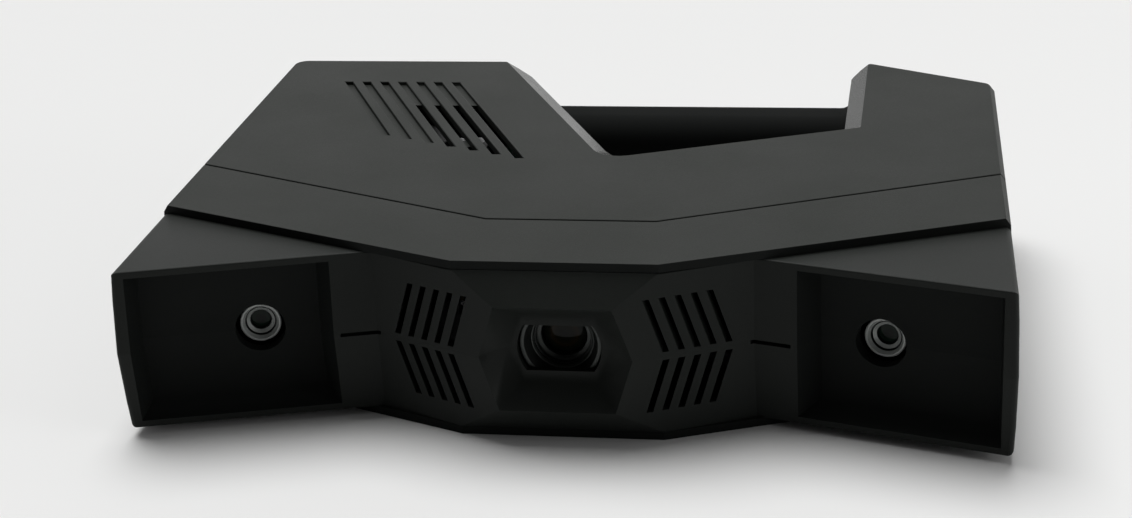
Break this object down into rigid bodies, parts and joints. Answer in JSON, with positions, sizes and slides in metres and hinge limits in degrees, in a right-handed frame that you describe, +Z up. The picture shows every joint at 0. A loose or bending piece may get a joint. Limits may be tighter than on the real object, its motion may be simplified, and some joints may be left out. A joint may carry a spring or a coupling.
{
  "type": "handheld scanner",
  "caption": "Handheld structured-light scanner with toed-in hooded cameras, a central projector, vent slots and a handle bar across an open finger gap at the back.",
  "frame": {"origin": "centre of the bounding box on the underside that the case rests on", "axes": "+X along the case to the right as seen from the front, -Y the way the optics look, +Z up from the underside"},
  "size_m": [0.3054, 0.22, 0.0655],
  "materials": {
    "shell": "fine-textured charcoal satin",
    "bezel": "fine-textured near-black satin",
    "grip": "soft-touch matt black",
    "steel": "plain zinc-plated",
    "brass": "machined",
    "metal": "machined and bead-blasted",
    "dark_metal": "black anodised",
    "lens": "coated optical glass",
    "board": "solder-masked laminate",
    "lead": "smooth jacket",
    "control": "satin dark grey",
    "black": "moulded black"
  },
  "bodies": {
    "case": {"front_bezel_upper": "bezel", "front_bezel_lower": "bezel", "band_upper": "shell", "band_lower": "shell", "rear_shell_upper": "shell", "rear_shell_lower": "shell", "handle_core": "metal", "handle_grip": "grip", "case_screws": "steel", "bezel_screws": "steel", "tripod_block": "metal", "tripod_bush": "brass", "optical_bench": "dark_metal", "bench_screws": "steel", "camera_housing_left": "dark_metal", "camera_board_left": "board", "lens_barrel_left": "dark_metal", "lens_ring_left": "metal", "lens_glass_left": "lens", "camera_housing_right": "dark_metal", "camera_board_right": "board", "lens_barrel_right": "dark_metal", "lens_ring_right": "metal", "lens_glass_right": "lens", "projector_body": "dark_metal", "projector_barrel": "black", "projector_ring": "dark_metal", "projector_glass": "lens", "led_board": "board", "heat_sink": "metal", "fan_frame": "black", "fan_screws": "steel", "main_board": "board", "board_standoffs": "brass", "board_screws": "steel", "io_board": "board", "port_plate": "metal", "usb_socket": "steel", "power_jack": "black", "switch_frame": "black", "scan_switch": "black", "camera_lead_left": "lead", "camera_lead_right": "lead", "projector_lead": "lead", "fan_lead": "lead", "button_lead": "lead", "io_lead": "lead"},
    "fan_rotor": {"fan_rotor": "black"},
    "scan_button": {"scan_button": "control"},
    "power_rocker": {"power_rocker": "control"}
  },
  "joints": [
    {"name": "fan_spin", "type": "hinge", "parent": "case", "child": "fan_rotor", "pos_m": [-0.078, 0.04326, 0.04875], "axis": [0, 0, 1], "continuous": true},
    {"name": "scan_press", "type": "slide", "parent": "case", "child": "scan_button", "axis": [0, -1, 0], "range_m": [0, 0.0015], "stiffness_N_per_m": 600, "springref_m": -0.001},
    {"name": "power_rock", "type": "hinge", "parent": "case", "child": "power_rocker", "pos_m": [-0.093, 0.10026, 0.03275], "axis": [1, 0, 0], "range_deg": [0, 18]}
  ]
}
